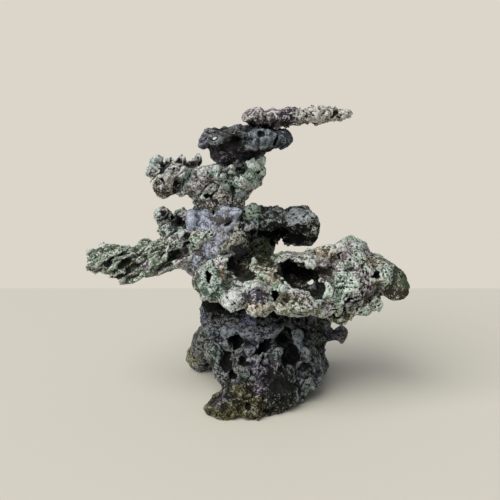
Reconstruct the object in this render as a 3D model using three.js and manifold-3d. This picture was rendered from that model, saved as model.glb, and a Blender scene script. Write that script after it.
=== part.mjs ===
// Dry reef rock: eight pieces of dead coral rock, stacked into a small reef and bedded in grey mortar.
// Millimetres, +Z up. X runs along the reef, from the wing at the left to the shelf at the right. The front
// of the reef faces -Y, and it stands on z = 0.
import * as THREE from "three";
import { ImprovedNoise } from "three/addons/math/ImprovedNoise.js";
import { mergeVertices } from "three/addons/utils/BufferGeometryUtils.js";
import Module from "manifold-3d";

const wasm = await Module();
wasm.setup();

// Driving dimensions. Every place and radius below is in the same millimetres.
const TOUCH_GAP = 0.4; // left between two pieces that touch
const FLOOR_BLOCK = 600; // side of the block that the feet are cut flat with
const RADIUS_PER_SPLIT = 44; // an edge of a lump is split once more for each such step of its mean radius
const MOST_SPLITS = 2;
const WEATHERING = [
  { wavelength: 45, depth: 6 }, // broad unevenness of the old coral
  { wavelength: 18, depth: 4 }, // knobs and dents
];

const noise = new ImprovedNoise();

// One coral lump, or one hollow: an ellipsoid by its centre, its radii, and its turn about X, Y and Z in
// degrees.
function blob(at, radii, turn = [0, 0, 0]) {
  return { at, radii, turn };
}

// Base rock: a porous boulder on a broad front foot, with a heel at the back left.
const baseRock = {
  lumps: [
    blob([17, -8, 49], [67, 66, 48]), // core
    blob([7, -62, 12], [49, 44, 33]), // front belly
    blob([-30, -80, 9], [32, 34, 21]), // front foot
    blob([-52, -84, 9], [15, 18, 11], [0, -30, 0]), // spike at the left of the foot
    blob([74, -25, 15], [29, 42, 31]), // right foot
    blob([86, 0, 43], [19, 42, 28]),
    blob([-73, 61, 23], [30, 28, 26], [0, -15, 0]), // heel
    blob([-42, 30, 60], [36, 40, 27]),
    blob([-20, -10, 86], [37, 46, 20]), // left shoulder
    blob([-31, -42, 43], [18, 28, 25]),
    blob([34, 55, 41], [68, 38, 47]), // back
    blob([62, -48, 86], [11, 16, 12]), // knobs round the deep pit
    blob([78, -42, 62], [8, 14, 8]),
    blob([39, -64, 71], [8, 14, 11]),
  ],
  hollows: [
    blob([55, -70, 73], [15, 34, 13]), // deep pit
    blob([48, -66, 93], [8, 26, 11]),
    blob([20, -76, 88], [7, 24, 9], [0, 20, 0]),
    blob([-19, -58, 83], [8, 22, 8]),
    blob([-32, -66, 66], [8, 24, 8]),
    blob([73, -66, 44], [5, 18, 7]),
    blob([40, -98, 40], [13, 24, 16]), // broad dent between the feet
  ],
};

// Back rock: a dark stub behind the base, with a knobby spur to the right.
const backRock = {
  lumps: [
    blob([95, 58, 46], [20, 30, 39]),
    blob([117, 52, 63], [25, 16, 14]), // spur
    blob([140, 48, 66], [14, 13, 15]),
    blob([110, 45, 12], [11, 22, 20], [0, 20, 0]), // toe
  ],
};

// Shelf rock: the largest piece, a thick plate that reaches out to the right, with a deep hollow in its
// face.
const shelfRock = {
  lumps: [
    blob([-49, -35, 169], [30, 50, 30]), // left block
    blob([-71, -25, 165], [12, 26, 14]),
    blob([-33, -30, 192], [18, 34, 18]),
    blob([-21, -78, 156], [21, 30, 19]), // nose at the front
    blob([12, -84, 154], [25, 30, 22]),
    blob([16, -45, 169], [46, 52, 26]), // middle
    blob([72, 8, 167], [52, 38, 32], [0, 8, 0]), // back of the hollow
    blob([69, -24, 196], [44, 50, 12], [0, 4, 0]), // roof of the hollow
    blob([6, 12, 180], [37, 36, 17]), // floor of the cave
    blob([46, 6, 134], [58, 42, 19]), // underside
    blob([131, -18, 169], [47, 58, 43]), // body of the shelf
    blob([142, 8, 202], [26, 34, 20]), // peak
    blob([179, -8, 178], [29, 46, 22], [0, 25, 0]),
    blob([193, -8, 162], [27, 36, 25], [0, 10, 0]), // right end
    blob([218, 8, 149], [12, 22, 17]), // tip
    blob([148, -30, 135], [33, 34, 15], [0, -8, 0]),
    blob([177, -25, 126], [8, 14, 10]), // knobs under the front edge
    blob([132, -40, 121], [10, 12, 10]),
    blob([102, -55, 124], [11, 14, 12]),
    blob([58, -70, 150], [43, 38, 17], [0, 5, 0]), // lip of the hollow
  ],
  hollows: [
    blob([66, -78, 184], [27, 52, 14], [0, 24, 0]), // deep hollow
    blob([88, 8, 154], [8, 62, 6], [-14, 0, 0]), // small window at the back of the hollow
    blob([171, -58, 181], [7, 20, 6]),
    blob([-53, -80, 186], [3, 16, 9], [0, 12, 0]), // slit in the left block
  ],
};

// Arch rock: a bent piece that roofs a small cave and holds a square block out to the right.
const archRock = {
  lumps: [
    blob([68, 15, 245], [27, 34, 21]), // block
    blob([68, 30, 222], [29, 24, 16]),
    blob([87, 18, 231], [11, 26, 16]),
    blob([33, 22, 254], [24, 36, 11]), // bridge
    blob([1, 5, 257], [18, 34, 14]),
    blob([-4, -25, 244], [15, 16, 9], [0, -40, 0]), // ridge down the left of the cave
    blob([-19, -36, 226], [17, 15, 9], [0, -45, 0]),
    blob([-33, -42, 212], [11, 14, 9]),
    blob([12, 46, 220], [38, 22, 44]), // back wall of the cave
  ],
  hollows: [
    blob([25, -14, 224], [33, 44, 23], [0, 8, 0]), // cave
  ],
};

// Wing rock: a flat tapering piece that reaches out to the left, with a lobe standing up behind.
const wingRock = {
  lumps: [
    blob([-206, -24, 193], [22, 28, 16]), // tip
    blob([-170, -15, 190], [38, 40, 22], [0, -3, 0]),
    blob([-132, -8, 196], [36, 42, 25], [0, -8, 0]),
    blob([-93, -12, 206], [29, 38, 26], [0, -8, 0]), // root
    blob([-71, -24, 223], [16, 26, 16]),
    blob([-167, -38, 173], [30, 20, 7]), // ledge under the front edge
    blob([-128, -26, 180], [30, 26, 8], [0, -15, 0]),
    blob([-123, 12, 249], [16, 22, 17]), // lobe
    blob([-94, 8, 246], [17, 24, 17]),
    blob([-110, 4, 232], [24, 26, 15]),
    blob([-91, -36, 234], [8, 12, 11]),
    blob([-219, -20, 198], [8, 14, 11]), // knobs along the top
    blob([-201, -14, 210], [8, 12, 8]),
    blob([-189, -10, 207], [8, 12, 8]),
    blob([-173, -8, 204], [10, 12, 7]),
    blob([-149, 0, 214], [14, 16, 13]),
  ],
  hollows: [
    blob([-160, -58, 193], [15, 24, 11], [0, -10, 0]), // between the ledge and the face
    blob([-187, -54, 197], [5, 14, 8], [0, 35, 0]),
    blob([-116, -16, 260], [7, 14, 7]), // pit in the lobe
    blob([-98, -22, 245], [11, 16, 7]),
  ],
};

// Crown rock: a shallow bowl of knobs.
const crownRock = {
  lumps: [
    blob([-50, 0, 300], [58, 50, 26]), // bowl
    blob([-45, -5, 282], [39, 42, 12]),
    blob([-107, 0, 313], [33, 36, 15]), // left arm
    blob([-131, -5, 315], [12, 22, 12]),
    blob([5, -12, 321], [18, 28, 14]), // block at the right
    blob([14, 0, 312], [11, 24, 11]),
    blob([0, -2, 301], [19, 36, 17]),
    blob([-16, -12, 287], [19, 34, 15]),
    blob([-125, -25, 296], [9, 12, 9]), // loop under the left arm
    blob([-114, -28, 287], [11, 12, 7]),
    blob([-97, -30, 285], [12, 12, 5]),
    blob([-132, 10, 328], [10, 12, 10]), // knobs along the back of the rim
    blob([-112, 18, 325], [10, 12, 11]),
    blob([-93, 24, 327], [10, 12, 11]),
    blob([-79, 28, 323], [10, 12, 10]),
    blob([-71, 30, 331], [6, 9, 9]),
    blob([-113, -32, 310], [11, 12, 9]), // knobs along the front of the rim
    blob([-88, -40, 311], [12, 12, 10]),
    blob([-60, -46, 313], [12, 12, 10]),
    blob([-38, -48, 313], [10, 12, 10]),
    blob([-26, -40, 321], [7, 10, 8]),
    blob([-13, -44, 309], [12, 12, 9]),
  ],
  hollows: [
    blob([-95, -46, 297], [5, 16, 8]),
    blob([-62, 2, 330], [36, 22, 8]), // trough inside the rim
  ],
};

// Cap rock: a dark worn piece, wide above and narrow below.
const capRock = {
  lumps: [
    blob([-42, 0, 358], [24, 42, 20]), // body
    blob([-62, -12, 352], [8, 14, 9]),
    blob([-16, -2, 358], [24, 42, 19]),
    blob([16, -6, 359], [27, 34, 16]), // arm to the right
    blob([42, 6, 358], [15, 26, 14]),
    blob([-31, 0, 336], [27, 36, 18]), // foot
    blob([-1, 8, 343], [23, 32, 15]),
    blob([17, 16, 371], [28, 20, 10]), // seat for the slab
  ],
  hollows: [
    blob([-48, 0, 359], [6, 75, 4]), // tunnel from front to back
    blob([-15, -44, 348], [6, 16, 12]), // crease in the face
  ],
};

// Top slab: a thin plate that lies on the cap and reaches out to the right.
const topSlab = {
  lumps: [
    blob([9, 0, 387], [24, 34, 12]),
    blob([49, 0, 386], [30, 36, 15]),
    blob([90, 0, 389], [30, 32, 12]),
    blob([113, 0, 391], [16, 22, 9]),
    blob([127, 0, 392], [9, 12, 8]), // knob at the end
  ],
};

// Core mortar: the trowelled grey neck that holds the crown, wing, arch and shelf together.
const coreMortar = {
  lumps: [
    blob([-42, 5, 252], [39, 36, 27]),
    blob([-51, 4, 212], [30, 34, 37]),
    blob([-74, 5, 186], [23, 26, 21]),
  ],
};

// Bed mortar: the dark joint between the base rock and the shelf rock.
const bedMortar = {
  lumps: [
    blob([-3, -14, 107], [54, 44, 17]),
    blob([-55, 6, 108], [20, 34, 35]), // column at the left
    blob([16, 22, 105], [64, 44, 29]),
  ],
  hollows: [
    blob([-31, -50, 130], [12, 34, 8], [0, 20, 0]), // slot
  ],
};

// How far the weather has moved the surface at a point. All blobs share this field, so lumps that touch are
// worn together.
function weathering(point) {
  const shift = new THREE.Vector3();
  for (const { wavelength, depth } of WEATHERING) {
    const p = point.clone().divideScalar(wavelength);
    const along = noise.noise(p.x, p.y, p.z);
    const across = noise.noise(p.y + 31.4, p.z, p.x);
    const up = noise.noise(p.z, p.x + 17.2, p.y);
    shift.addScaledVector(new THREE.Vector3(along, across, up), depth);
  }
  return shift;
}

// The closed solid of a geometry.
function solidOf(geometry) {
  geometry.deleteAttribute("normal");
  geometry.deleteAttribute("uv");
  const merged = mergeVertices(geometry);
  return new wasm.Manifold(
    new wasm.Mesh({
      numProp: 3,
      vertProperties: new Float32Array(merged.getAttribute("position").array),
      triVerts: new Uint32Array(merged.index.array),
    }),
  );
}

// The solid of a blob, grown by some millimetres on every side.
function blobSolid({ at, radii, turn }, grow) {
  const grown = radii.map((radius) => radius + grow);
  const meanRadius = Math.cbrt(grown[0] * grown[1] * grown[2]);
  const splits = Math.min(Math.round(meanRadius / RADIUS_PER_SPLIT), MOST_SPLITS);
  const geometry = new THREE.IcosahedronGeometry(1, splits);
  const turned = new THREE.Euler(...turn.map(THREE.MathUtils.degToRad));
  const placed = new THREE.Matrix4().compose(
    new THREE.Vector3(...at),
    new THREE.Quaternion().setFromEuler(turned),
    new THREE.Vector3(...grown),
  );
  const position = geometry.getAttribute("position");
  const vertex = new THREE.Vector3();
  for (let i = 0; i < position.count; i++) {
    vertex.fromBufferAttribute(position, i).applyMatrix4(placed);
    vertex.add(weathering(vertex));
    position.setXYZ(i, vertex.x, vertex.y, vertex.z);
  }
  return solidOf(geometry);
}

// A rock is its lumps joined, less its hollows. Grown, its lumps are larger and its hollows smaller.
function rockSolid({ lumps, hollows = [] }, grow = 0) {
  const body = lumps.map((lump) => blobSolid(lump, grow)).reduce((all, next) => all.add(next));
  const holes = hollows.map((hollow) => blobSolid(hollow, -grow));
  return holes.reduce((left, hole) => left.subtract(hole), body);
}

// The largest body of a solid, without the crumbs that a cut leaves.
function largestBody(solid) {
  return solid.decompose().reduce((a, b) => (b.volume() > a.volume() ? b : a));
}

// What the reef stands on.
function floorSolid() {
  const block = new THREE.BoxGeometry(FLOOR_BLOCK, FLOOR_BLOCK, FLOOR_BLOCK);
  block.translate(0, 0, -FLOOR_BLOCK / 2);
  return solidOf(block);
}

// The stone and the mortar, by their colours.
const SAGE_GREEN = "#8d9b8a";
const SHADED_GREEN = "#5e6a62";
const SLATE = "#3d4041";
const SAND = "#a39a8f";
const GREY_MORTAR = "#a3a1a8";
const DARK_MORTAR = "#55575c";

// The pieces from the floor up, and the mortar last. Each is cut back from the ones before it that it
// touches.
const pieces = [
  { name: "base_rock", form: baseRock, colour: SHADED_GREEN, touches: [] },
  { name: "back_rock", form: backRock, colour: SLATE, touches: [baseRock] },
  { name: "shelf_rock", form: shelfRock, colour: SAGE_GREEN, touches: [] },
  { name: "arch_rock", form: archRock, colour: SHADED_GREEN, touches: [shelfRock] },
  { name: "wing_rock", form: wingRock, colour: SAGE_GREEN, touches: [shelfRock, archRock] },
  { name: "crown_rock", form: crownRock, colour: SAGE_GREEN, touches: [archRock, wingRock] },
  { name: "cap_rock", form: capRock, colour: SLATE, touches: [crownRock] },
  { name: "top_slab", form: topSlab, colour: SAND, touches: [capRock] },
  { name: "bed_mortar", form: bedMortar, colour: DARK_MORTAR, touches: [baseRock, backRock, shelfRock] },
  {
    name: "core_mortar",
    form: coreMortar,
    colour: GREY_MORTAR,
    touches: [shelfRock, archRock, wingRock, crownRock],
  },
];

function meshOf({ name, form, colour, touches }) {
  const cut = touches.reduce((left, other) => left.subtract(rockSolid(other, TOUCH_GAP)), rockSolid(form));
  const { vertProperties, triVerts } = largestBody(cut.subtract(floorSolid())).getMesh();
  const geometry = new THREE.BufferGeometry();
  geometry.setAttribute("position", new THREE.BufferAttribute(vertProperties, 3));
  geometry.setIndex(new THREE.BufferAttribute(triVerts, 1));
  const material = new THREE.MeshStandardMaterial({
    color: colour,
    roughness: 0.95,
    metalness: 0,
    flatShading: true,
  });
  const mesh = new THREE.Mesh(geometry, material);
  mesh.name = name;
  return mesh;
}

// The origin is on the floor, under the middle of the reef's box.
const reef = new THREE.Group();
reef.add(...pieces.map(meshOf));
const middle = new THREE.Box3().setFromObject(reef).getCenter(new THREE.Vector3());
reef.position.set(-middle.x, -middle.y, 0);

export default reef;
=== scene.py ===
# %% [markdown]
# # A dry reef rock, dressed in Blender
# The real thing is a small reef for an aquarium: eight pieces of dead coral rock, bedded on each other in
# grey mortar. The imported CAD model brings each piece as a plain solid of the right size, in the right place.
# This lesson turns each solid into old, knobby, porous stone, and then lights the stack as in a plain studio.

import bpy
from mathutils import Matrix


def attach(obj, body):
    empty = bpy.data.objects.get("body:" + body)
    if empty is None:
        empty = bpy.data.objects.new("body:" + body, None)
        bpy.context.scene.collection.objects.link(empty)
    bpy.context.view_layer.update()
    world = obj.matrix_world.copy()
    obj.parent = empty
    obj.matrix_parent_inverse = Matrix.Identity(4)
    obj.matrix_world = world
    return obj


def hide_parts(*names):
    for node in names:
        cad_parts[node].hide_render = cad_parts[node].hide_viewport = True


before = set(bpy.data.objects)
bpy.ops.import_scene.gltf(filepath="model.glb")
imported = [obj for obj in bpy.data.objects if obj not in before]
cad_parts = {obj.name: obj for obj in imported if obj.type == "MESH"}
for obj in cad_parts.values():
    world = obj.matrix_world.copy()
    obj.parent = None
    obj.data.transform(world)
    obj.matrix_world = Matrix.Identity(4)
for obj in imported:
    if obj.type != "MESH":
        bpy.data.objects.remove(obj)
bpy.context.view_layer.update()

# %% [markdown]
# ## Helpers for objects
# Blender's operators act on whatever is selected, and the loader leaves every CAD rock selected, so each step
# starts by selecting one object alone. The second helper adds a modifier and applies it, so that the next
# step works on plain mesh.

# %% Select one object, and apply a modifier
import math
import time
import bpy

MM = 0.001  # places and sizes below are in millimetres, and Blender counts in metres


def only(piece):
    bpy.ops.object.select_all(action="DESELECT")
    piece.select_set(True)
    bpy.context.view_layer.objects.active = piece


def finish_with(piece, kind, **settings):
    only(piece)
    modifier = piece.modifiers.new(kind.title(), kind)
    for name, value in settings.items():
        setattr(modifier, name, value)
    bpy.ops.object.modifier_apply(modifier=modifier.name)


print("rocks to dress:", ", ".join(sorted(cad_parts)))

# %% [markdown]
# ## A helper for nodes
# Node trees describe both the relief of the rock and its materials. They could be wired in the node editor,
# but a script has to name every socket. One function adds any node: it sets the node's inputs in turn, or by
# name, and links an input where its value is another node or one of a node's outputs.

# %% Add a node
def add_node(tree, kind, inputs=(), **settings):
    node = tree.nodes.new(kind)
    for name, value in settings.items():
        setattr(node, name, value)
    for socket, value in inputs.items() if isinstance(inputs, dict) else enumerate(inputs):
        if isinstance(value, bpy.types.Node):
            value = value.outputs[0]
        if isinstance(value, bpy.types.NodeSocket):
            tree.links.new(value, node.inputs[socket])
        else:
            node.inputs[socket].default_value = value
    return node


def in_metres(millimetres):
    return [value * MM for value in millimetres]


def in_radians(degrees):
    return [math.radians(angle) for angle in degrees]


print("a quarter turn in radians:", round(in_radians([90])[0], 3))

# %% [markdown]
# ## From a plain solid to a lump of clay
# A rock starts as a copy of its CAD solid. Its facets could be rounded by a subdivision surface, but the
# lumps meet at sharp seams, and those would stay. A voxel remesh fuses lumps and knobs into one even skin,
# which a Smooth modifier then softens, as a potter's thumb would. Knobs are ico spheres that are joined
# before the remesh.

# %% Model knobs
UNTURNED = (0, 0, 0)


def balls(name, places):
    """One object of ico spheres. Each place is a centre, three radii and, if it is turned, degrees."""
    parts = []
    for centre, radii, *turn in places:
        bpy.ops.mesh.primitive_ico_sphere_add(
            subdivisions=3,
            radius=1,
            location=in_metres(centre),
            rotation=in_radians(turn[0] if turn else UNTURNED),
            scale=in_metres(radii),
        )
        parts.append(bpy.context.active_object)
    bpy.ops.object.select_all(action="DESELECT")
    for part in parts:
        part.select_set(True)
    bpy.context.view_layer.objects.active = parts[0]
    bpy.ops.object.join()
    bpy.ops.object.transform_apply(location=True, rotation=True, scale=True)
    joined = bpy.context.active_object
    joined.name = name
    print(f"{name}: {len(places)} knobs")
    return joined


# %% Rough out a rock
CLAY_GRAIN = 3.0  # side of a voxel of the clay, in mm
DOUBLE = 0.00001  # vertices nearer than this, in metres, are one


def rough_out(node, knobs=(), softness=6):
    """A clay copy of a CAD rock, with knobs added."""
    rock = bpy.data.objects.new(node + "_look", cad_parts[node].data.copy())
    bpy.context.scene.collection.objects.link(rock)
    rock.data.materials.clear()
    only(rock)
    bpy.ops.object.mode_set(mode="EDIT")
    bpy.ops.mesh.select_all(action="SELECT")
    bpy.ops.mesh.remove_doubles(threshold=DOUBLE)
    bpy.ops.object.mode_set(mode="OBJECT")
    if knobs:
        added = balls(node + "_knobs", knobs)
        only(rock)
        added.select_set(True)
        bpy.ops.object.join()
    finish_with(rock, "REMESH", mode="VOXEL", voxel_size=CLAY_GRAIN * MM)
    finish_with(rock, "SMOOTH", factor=0.5, iterations=softness)
    print(f"{rock.name}: {len(rock.data.vertices)} vertices of clay")
    return rock


# %% [markdown]
# ## From clay to coral
# Old coral rock is riddled with round holes that run into each other under the skin. Displacing the skin can
# only push it in and out, so it never gives an overhang. Geometry nodes can instead rebuild the rock from a
# volume: for each point of a fine grid they work out how deep it lies inside the clay, add lobes and grain to
# that depth, and bore round pores through it. The surface where the depth is zero becomes the new mesh.
#
# The depth comes from the nearest point of the clay. Each clay vertex stores its normal and the plane through
# it as four numbers, so one lookup per grid point is enough.

# %% Depth of a point inside the clay
def depth_inside(tree, clay, here, normal):
    """The nearest plane's distance from the middle of the world, less the point's own along that normal."""
    distance = add_node(tree, "ShaderNodeVectorMath", [here, normal], operation="DOT_PRODUCT")
    across = add_node(tree, "ShaderNodeSeparateXYZ", [normal])
    plane = add_node(
        tree, "FunctionNodeCombineColor", [*across.outputs, distance.outputs["Value"]], mode="RGB"
    )
    skin = add_node(
        tree,
        "GeometryNodeStoreNamedAttribute",
        {"Geometry": clay, "Name": "plane", "Value": plane},
        data_type="FLOAT_COLOR",
        domain="POINT",
    )
    stored = add_node(tree, "GeometryNodeInputNamedAttribute", {"Name": "plane"}, data_type="FLOAT_COLOR")
    nearest = add_node(
        tree,
        "GeometryNodeSampleNearestSurface",
        {"Mesh": skin, "Value": stored, "Sample Position": here},
        data_type="FLOAT_COLOR",
    )
    parts = add_node(tree, "FunctionNodeSeparateColor", {"Color": nearest.outputs["Value"]}, mode="RGB")
    facing = add_node(tree, "ShaderNodeCombineXYZ", parts.outputs[:3])
    along = add_node(tree, "ShaderNodeVectorMath", [here, facing], operation="DOT_PRODUCT")
    return add_node(
        tree, "ShaderNodeMath", [parts.outputs[3], along.outputs["Value"]], operation="SUBTRACT"
    )


# %% [markdown]
# Large holes have places of their own, so that they lie where the photograph shows them. A hole could be cut
# with a boolean, which would leave a knife-sharp rim. Here each one is an ellipsoid whose distance is blended
# into the depth, which rounds the rim, and a noise makes its wall uneven.

# %% Bore holes of one's own choice
PIT_RIM = 2.0  # mm over which the rim of a pit is rounded
HOLE_RIM = 0.5  # the same for a hole that light shows through


def radii_from(tree, point, centre, radii, turn=UNTURNED):
    """How far a point lies from a place: 0 at its centre, 1 on the ellipsoid of its three radii."""
    offset = add_node(tree, "ShaderNodeVectorMath", [point, in_metres(centre)], operation="SUBTRACT")
    if any(turn):
        offset = add_node(
            tree,
            "ShaderNodeVectorRotate",
            {"Vector": offset, "Rotation": in_radians(turn)},
            rotation_type="EULER_XYZ",
            invert=True,
        )
    scaled = add_node(tree, "ShaderNodeVectorMath", [offset, in_metres(radii)], operation="DIVIDE")
    return add_node(tree, "ShaderNodeVectorMath", [scaled], operation="LENGTH").outputs["Value"]


def bored(tree, point, body, pits, rim):
    for centre, radii, *turn in pits:
        away = radii_from(tree, point, centre, radii, *turn)
        outside = add_node(tree, "ShaderNodeMath", [away, 1.0], operation="SUBTRACT")
        wall = add_node(tree, "ShaderNodeMath", [outside, min(radii) * MM], operation="MULTIPLY")
        body = add_node(tree, "ShaderNodeMath", [body, wall, rim * MM], operation="SMOOTH_MIN")
    return body


print("rims of pits and holes:", PIT_RIM, "and", HOLE_RIM, "mm")

# %% [markdown]
# Coral grows unevenly, so the patterns of its skin are looked up at a place that is turned, stretched and
# shaken by a noise. Round each point of a Voronoi pattern the skin swells to a lobe. Where the height is
# below zero, it sinks there instead, and ridges are left between the dents, as between the cups of a coral.
# Creases wind over them, where a slow noise passes its middle value. Grain is a rough noise with finer and
# finer octaves.

# %% Lobes, creases and grain
LOBE_SLOPE = -3  # a lobe falls off with the square of the distance from its middle
GRAIN_OCTAVES = 2.0
GRAIN_ROUGHNESS = 0.65


def with_skin_relief(tree, body, placed, shaken, look):
    for size, height in look["lobes"]:
        cells = add_node(
            tree,
            "ShaderNodeTexVoronoi",
            {"Vector": shaken, "Scale": 1 / (size * MM)},
            voronoi_dimensions="3D",
            feature="F1",
        )
        square = add_node(tree, "ShaderNodeMath", [cells, cells], operation="MULTIPLY")
        lobe = add_node(
            tree,
            "ShaderNodeMath",
            [square, LOBE_SLOPE * height * MM, height * MM],
            operation="MULTIPLY_ADD",
        )
        body = add_node(tree, "ShaderNodeMath", [body, lobe], operation="ADD")
    for size, deep, width in look["creases"]:
        noise = add_node(
            tree, "ShaderNodeTexNoise", {"Vector": placed, "Scale": 1 / (size * MM), "Detail": 1.0}
        )
        centred = add_node(tree, "ShaderNodeMath", [noise, 0.5], operation="SUBTRACT")
        off_middle = add_node(tree, "ShaderNodeMath", [centred], operation="ABSOLUTE")
        ridge = add_node(tree, "ShaderNodeMath", [off_middle, -1 / width, 1.0], operation="MULTIPLY_ADD")
        crease = add_node(tree, "ShaderNodeMath", [ridge, 0.0], operation="MAXIMUM")
        body = add_node(tree, "ShaderNodeMath", [crease, -deep * MM, body], operation="MULTIPLY_ADD")
    for size, height in look["grain"]:
        noise = add_node(
            tree,
            "ShaderNodeTexNoise",
            {
                "Vector": placed,
                "Scale": 1 / (size * MM),
                "Detail": GRAIN_OCTAVES,
                "Roughness": GRAIN_ROUGHNESS,
            },
        )
        centred = add_node(tree, "ShaderNodeMath", [noise, 0.5], operation="SUBTRACT")
        grain = add_node(tree, "ShaderNodeMath", [centred, 2 * height * MM], operation="MULTIPLY")
        body = add_node(tree, "ShaderNodeMath", [body, grain], operation="ADD")
    return body


print("octaves of the grain:", GRAIN_OCTAVES)

# %% [markdown]
# Pores are spheres at the points of a Voronoi pattern. Each cell draws by lot whether it has one, and how
# wide it is. Real coral rock has wide pores in some regions and narrow ones in others, so a slow noise scales
# them. They end a few millimetres under the skin, and the rock beneath stays whole.

# %% Pores
PORE_REGION = 38  # size of the regions, in mm
PORE_RIM = 0.8  # mm over which the rim of a pore is rounded
NARROW_TO_WIDE = (0.35, 0.6, 0.35, 1.15)  # two values of the slow noise, and the scale of the pores at each
LEAST_TO_MOST = (0.35, 1.0)  # shares of the full radius that the lot draws


def with_pores(tree, body, depth, here, shaken, look):
    region = add_node(
        tree, "ShaderNodeTexNoise", {"Vector": here, "Scale": 1 / (PORE_REGION * MM), "Detail": 0.0}
    )
    porous = add_node(tree, "ShaderNodeMapRange", [region, *NARROW_TO_WIDE])
    for size, radius, share, below in look["pores"]:
        cells = add_node(
            tree,
            "ShaderNodeTexVoronoi",
            {"Vector": shaken, "Scale": 1 / (size * MM)},
            voronoi_dimensions="3D",
            feature="F1",
        )
        lot = add_node(tree, "FunctionNodeSeparateColor", {"Color": cells.outputs["Color"]})
        drawn = add_node(tree, "ShaderNodeMapRange", [lot, 1 - share, 1.0, *LEAST_TO_MOST])
        wins = add_node(tree, "ShaderNodeMath", [lot, 1 - share], operation="GREATER_THAN")
        scale = add_node(tree, "ShaderNodeMath", [porous, wins], operation="MULTIPLY")
        drawn = add_node(tree, "ShaderNodeMath", [drawn, scale], operation="MULTIPLY")
        away = add_node(tree, "ShaderNodeMath", [cells, size * MM], operation="MULTIPLY")
        reach = add_node(tree, "ShaderNodeMath", [drawn, radius * MM], operation="MULTIPLY")
        wall = add_node(tree, "ShaderNodeMath", [away, reach], operation="SUBTRACT")
        under = add_node(tree, "ShaderNodeMath", [depth, below * MM], operation="SUBTRACT")
        wall = add_node(tree, "ShaderNodeMath", [wall, under], operation="MAXIMUM")
        body = add_node(tree, "ShaderNodeMath", [body, wall, PORE_RIM * MM], operation="SMOOTH_MIN")
    return body


print("regions of wide and narrow pores:", PORE_REGION, "mm")

# %% [markdown]
# The grid becomes a mesh along the surface where the depth is zero. Bubbles inside the rock and loose crumbs
# are islands of their own, and only the largest island is kept. A blurred copy of the mesh then tells how
# hollow each vertex lies, which the paint needs, because it puts dirt and painted shade into hollows.

# %% A mesh from the depth
OUTSIDE = -0.01  # depth beyond the grid, in metres


def mesh_where_zero(tree, depth, grid):
    low, high, steps = grid
    volume = add_node(tree, "GeometryNodeVolumeCube", [depth, OUTSIDE, low, high, *steps])
    shell = add_node(
        tree,
        "GeometryNodeVolumeToMesh",
        {"Volume": volume, "Threshold": 0.0, "Adaptivity": 0.0},
        resolution_mode="GRID",
    )
    island = add_node(tree, "GeometryNodeInputMeshIsland")
    counted = add_node(
        tree,
        "GeometryNodeAccumulateField",
        {"Value": 1, "Group ID": island.outputs["Island Index"]},
        data_type="INT",
        domain="POINT",
    )
    most = add_node(
        tree,
        "GeometryNodeAttributeStatistic",
        {"Geometry": shell, "Attribute": counted.outputs["Total"]},
        data_type="FLOAT",
        domain="POINT",
    )
    loose = add_node(
        tree, "ShaderNodeMath", [counted.outputs["Total"], most.outputs["Max"]], operation="LESS_THAN"
    )
    return add_node(
        tree, "GeometryNodeDeleteGeometry", {"Geometry": shell, "Selection": loose}, domain="POINT"
    )


print("depth beyond the grid:", OUTSIDE / MM, "mm")

# %% Measures that the paint reads
BLURS = {"hollow": 7, "vale": 40}  # rounds of blur: among the near neighbours, and among the wider ones


def with_measures(tree, rock, here, normal, depth, rough):
    """Stores, in mm, how deep a vertex lies under the clay's skin, and how hollow, and how rough it is."""
    measures = {"depth": depth, "rough": add_node(tree, "ShaderNodeMath", [rough, MM], operation="MULTIPLY")}
    for attribute, rounds in BLURS.items():
        blurred = add_node(
            tree,
            "GeometryNodeBlurAttribute",
            {"Value": here, "Iterations": rounds},
            data_type="FLOAT_VECTOR",
        )
        lift = add_node(
            tree, "ShaderNodeVectorMath", [blurred.outputs["Value"], here], operation="SUBTRACT"
        )
        along = add_node(tree, "ShaderNodeVectorMath", [lift, normal], operation="DOT_PRODUCT")
        measures[attribute] = along.outputs["Value"]
    for attribute, value in measures.items():
        rock = add_node(
            tree,
            "GeometryNodeStoreNamedAttribute",
            {
                "Geometry": rock,
                "Name": attribute,
                "Value": add_node(tree, "ShaderNodeMath", [value, 1 / MM], operation="MULTIPLY"),
            },
            data_type="FLOAT",
            domain="POINT",
        )
    return rock


print("rounds of blur:", BLURS)

# %% [markdown]
# The whole relief is one node tree. Its order matters: pits first, then the skin's relief, which is lower
# where the rock is worn smooth, then the pores, and last the holes that light shows through, so that nothing
# closes them again.

# %% Relief of coral rock
SHAKE_SIZE = 14  # size of the noise that shakes the patterns, in mm
PIT_SHAKE = 5.0  # mm by which that noise moves the wall of a large pit
WORN = 0.6  # share of the relief that is left where the rock is worn smooth
WORN_EDGE = (0.5, 1.2)  # the wear fades out between these shares of its radii


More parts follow.
